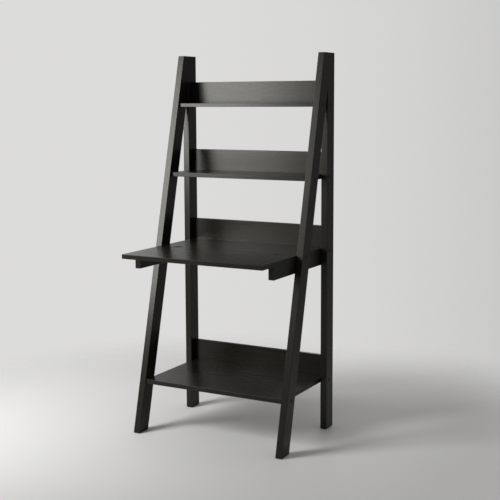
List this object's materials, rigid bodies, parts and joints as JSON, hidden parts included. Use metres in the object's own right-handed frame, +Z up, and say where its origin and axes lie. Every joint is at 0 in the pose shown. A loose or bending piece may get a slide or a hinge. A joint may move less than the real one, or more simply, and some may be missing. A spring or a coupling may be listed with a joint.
{
  "type": "ladder desk",
  "caption": "Free-standing ladder desk in black wood grain: two A-frames carry a deep desk top between shelves that get shallower towards the top, each with a low backboard.",
  "frame": {"origin": "on the floor, under the middle of the whole desk", "axes": "+X to the right of someone facing the desk, +Y towards the wall behind it, +Z up"},
  "size_m": [0.685, 0.571, 1.55],
  "materials": {
    "frame_finish": "black stained wood grain, satin",
    "board_finish": "black wood-grain board, satin",
    "bolt_steel": "black coated steel",
    "nut_steel": "zinc plated",
    "screw_steel": "black phosphated",
    "dowel_beech": "bare beech",
    "glide_plastic": "black moulded plastic",
    "grommet_plastic": "black moulded plastic, fine texture"
  },
  "bodies": {
    "desk": {"left_rear_post": "frame_finish", "right_rear_post": "frame_finish", "left_front_leg": "frame_finish", "right_front_leg": "frame_finish", "left_desk_rail": "frame_finish", "right_desk_rail": "frame_finish", "bottom_shelf": "board_finish", "desk_top": "board_finish", "middle_shelf": "board_finish", "top_shelf": "board_finish", "bottom_backboard": "board_finish", "desk_backboard": "board_finish", "middle_backboard": "board_finish", "top_backboard": "board_finish", "bottom_bolts": "bolt_steel", "desk_bolts": "bolt_steel", "middle_bolts": "bolt_steel", "top_bolts": "bolt_steel", "bottom_barrel_nuts": "nut_steel", "desk_barrel_nuts": "nut_steel", "middle_barrel_nuts": "nut_steel", "top_barrel_nuts": "nut_steel", "apex_screws": "screw_steel", "rail_screws": "screw_steel", "desk_screws": "screw_steel", "bottom_backboard_screws": "screw_steel", "desk_backboard_screws": "screw_steel", "middle_backboard_screws": "screw_steel", "top_backboard_screws": "screw_steel", "apex_dowels": "dowel_beech", "bottom_end_dowels": "dowel_beech", "desk_end_dowels": "dowel_beech", "middle_end_dowels": "dowel_beech", "top_end_dowels": "dowel_beech", "bottom_backboard_dowels": "dowel_beech", "desk_backboard_dowels": "dowel_beech", "middle_backboard_dowels": "dowel_beech", "top_backboard_dowels": "dowel_beech", "floor_glides": "glide_plastic", "left_grommet_liner": "grommet_plastic", "right_grommet_liner": "grommet_plastic"},
    "left_cap": {"left_grommet_cap": "grommet_plastic"},
    "right_cap": {"right_grommet_cap": "grommet_plastic"}
  },
  "joints": [
    {"name": "left_cap_lift", "type": "slide", "parent": "desk", "child": "left_cap", "axis": [0, 0, 1], "range_m": [0, 0.03]},
    {"name": "right_cap_lift", "type": "slide", "parent": "desk", "child": "right_cap", "axis": [0, 0, 1], "range_m": [0, 0.03]}
  ]
}
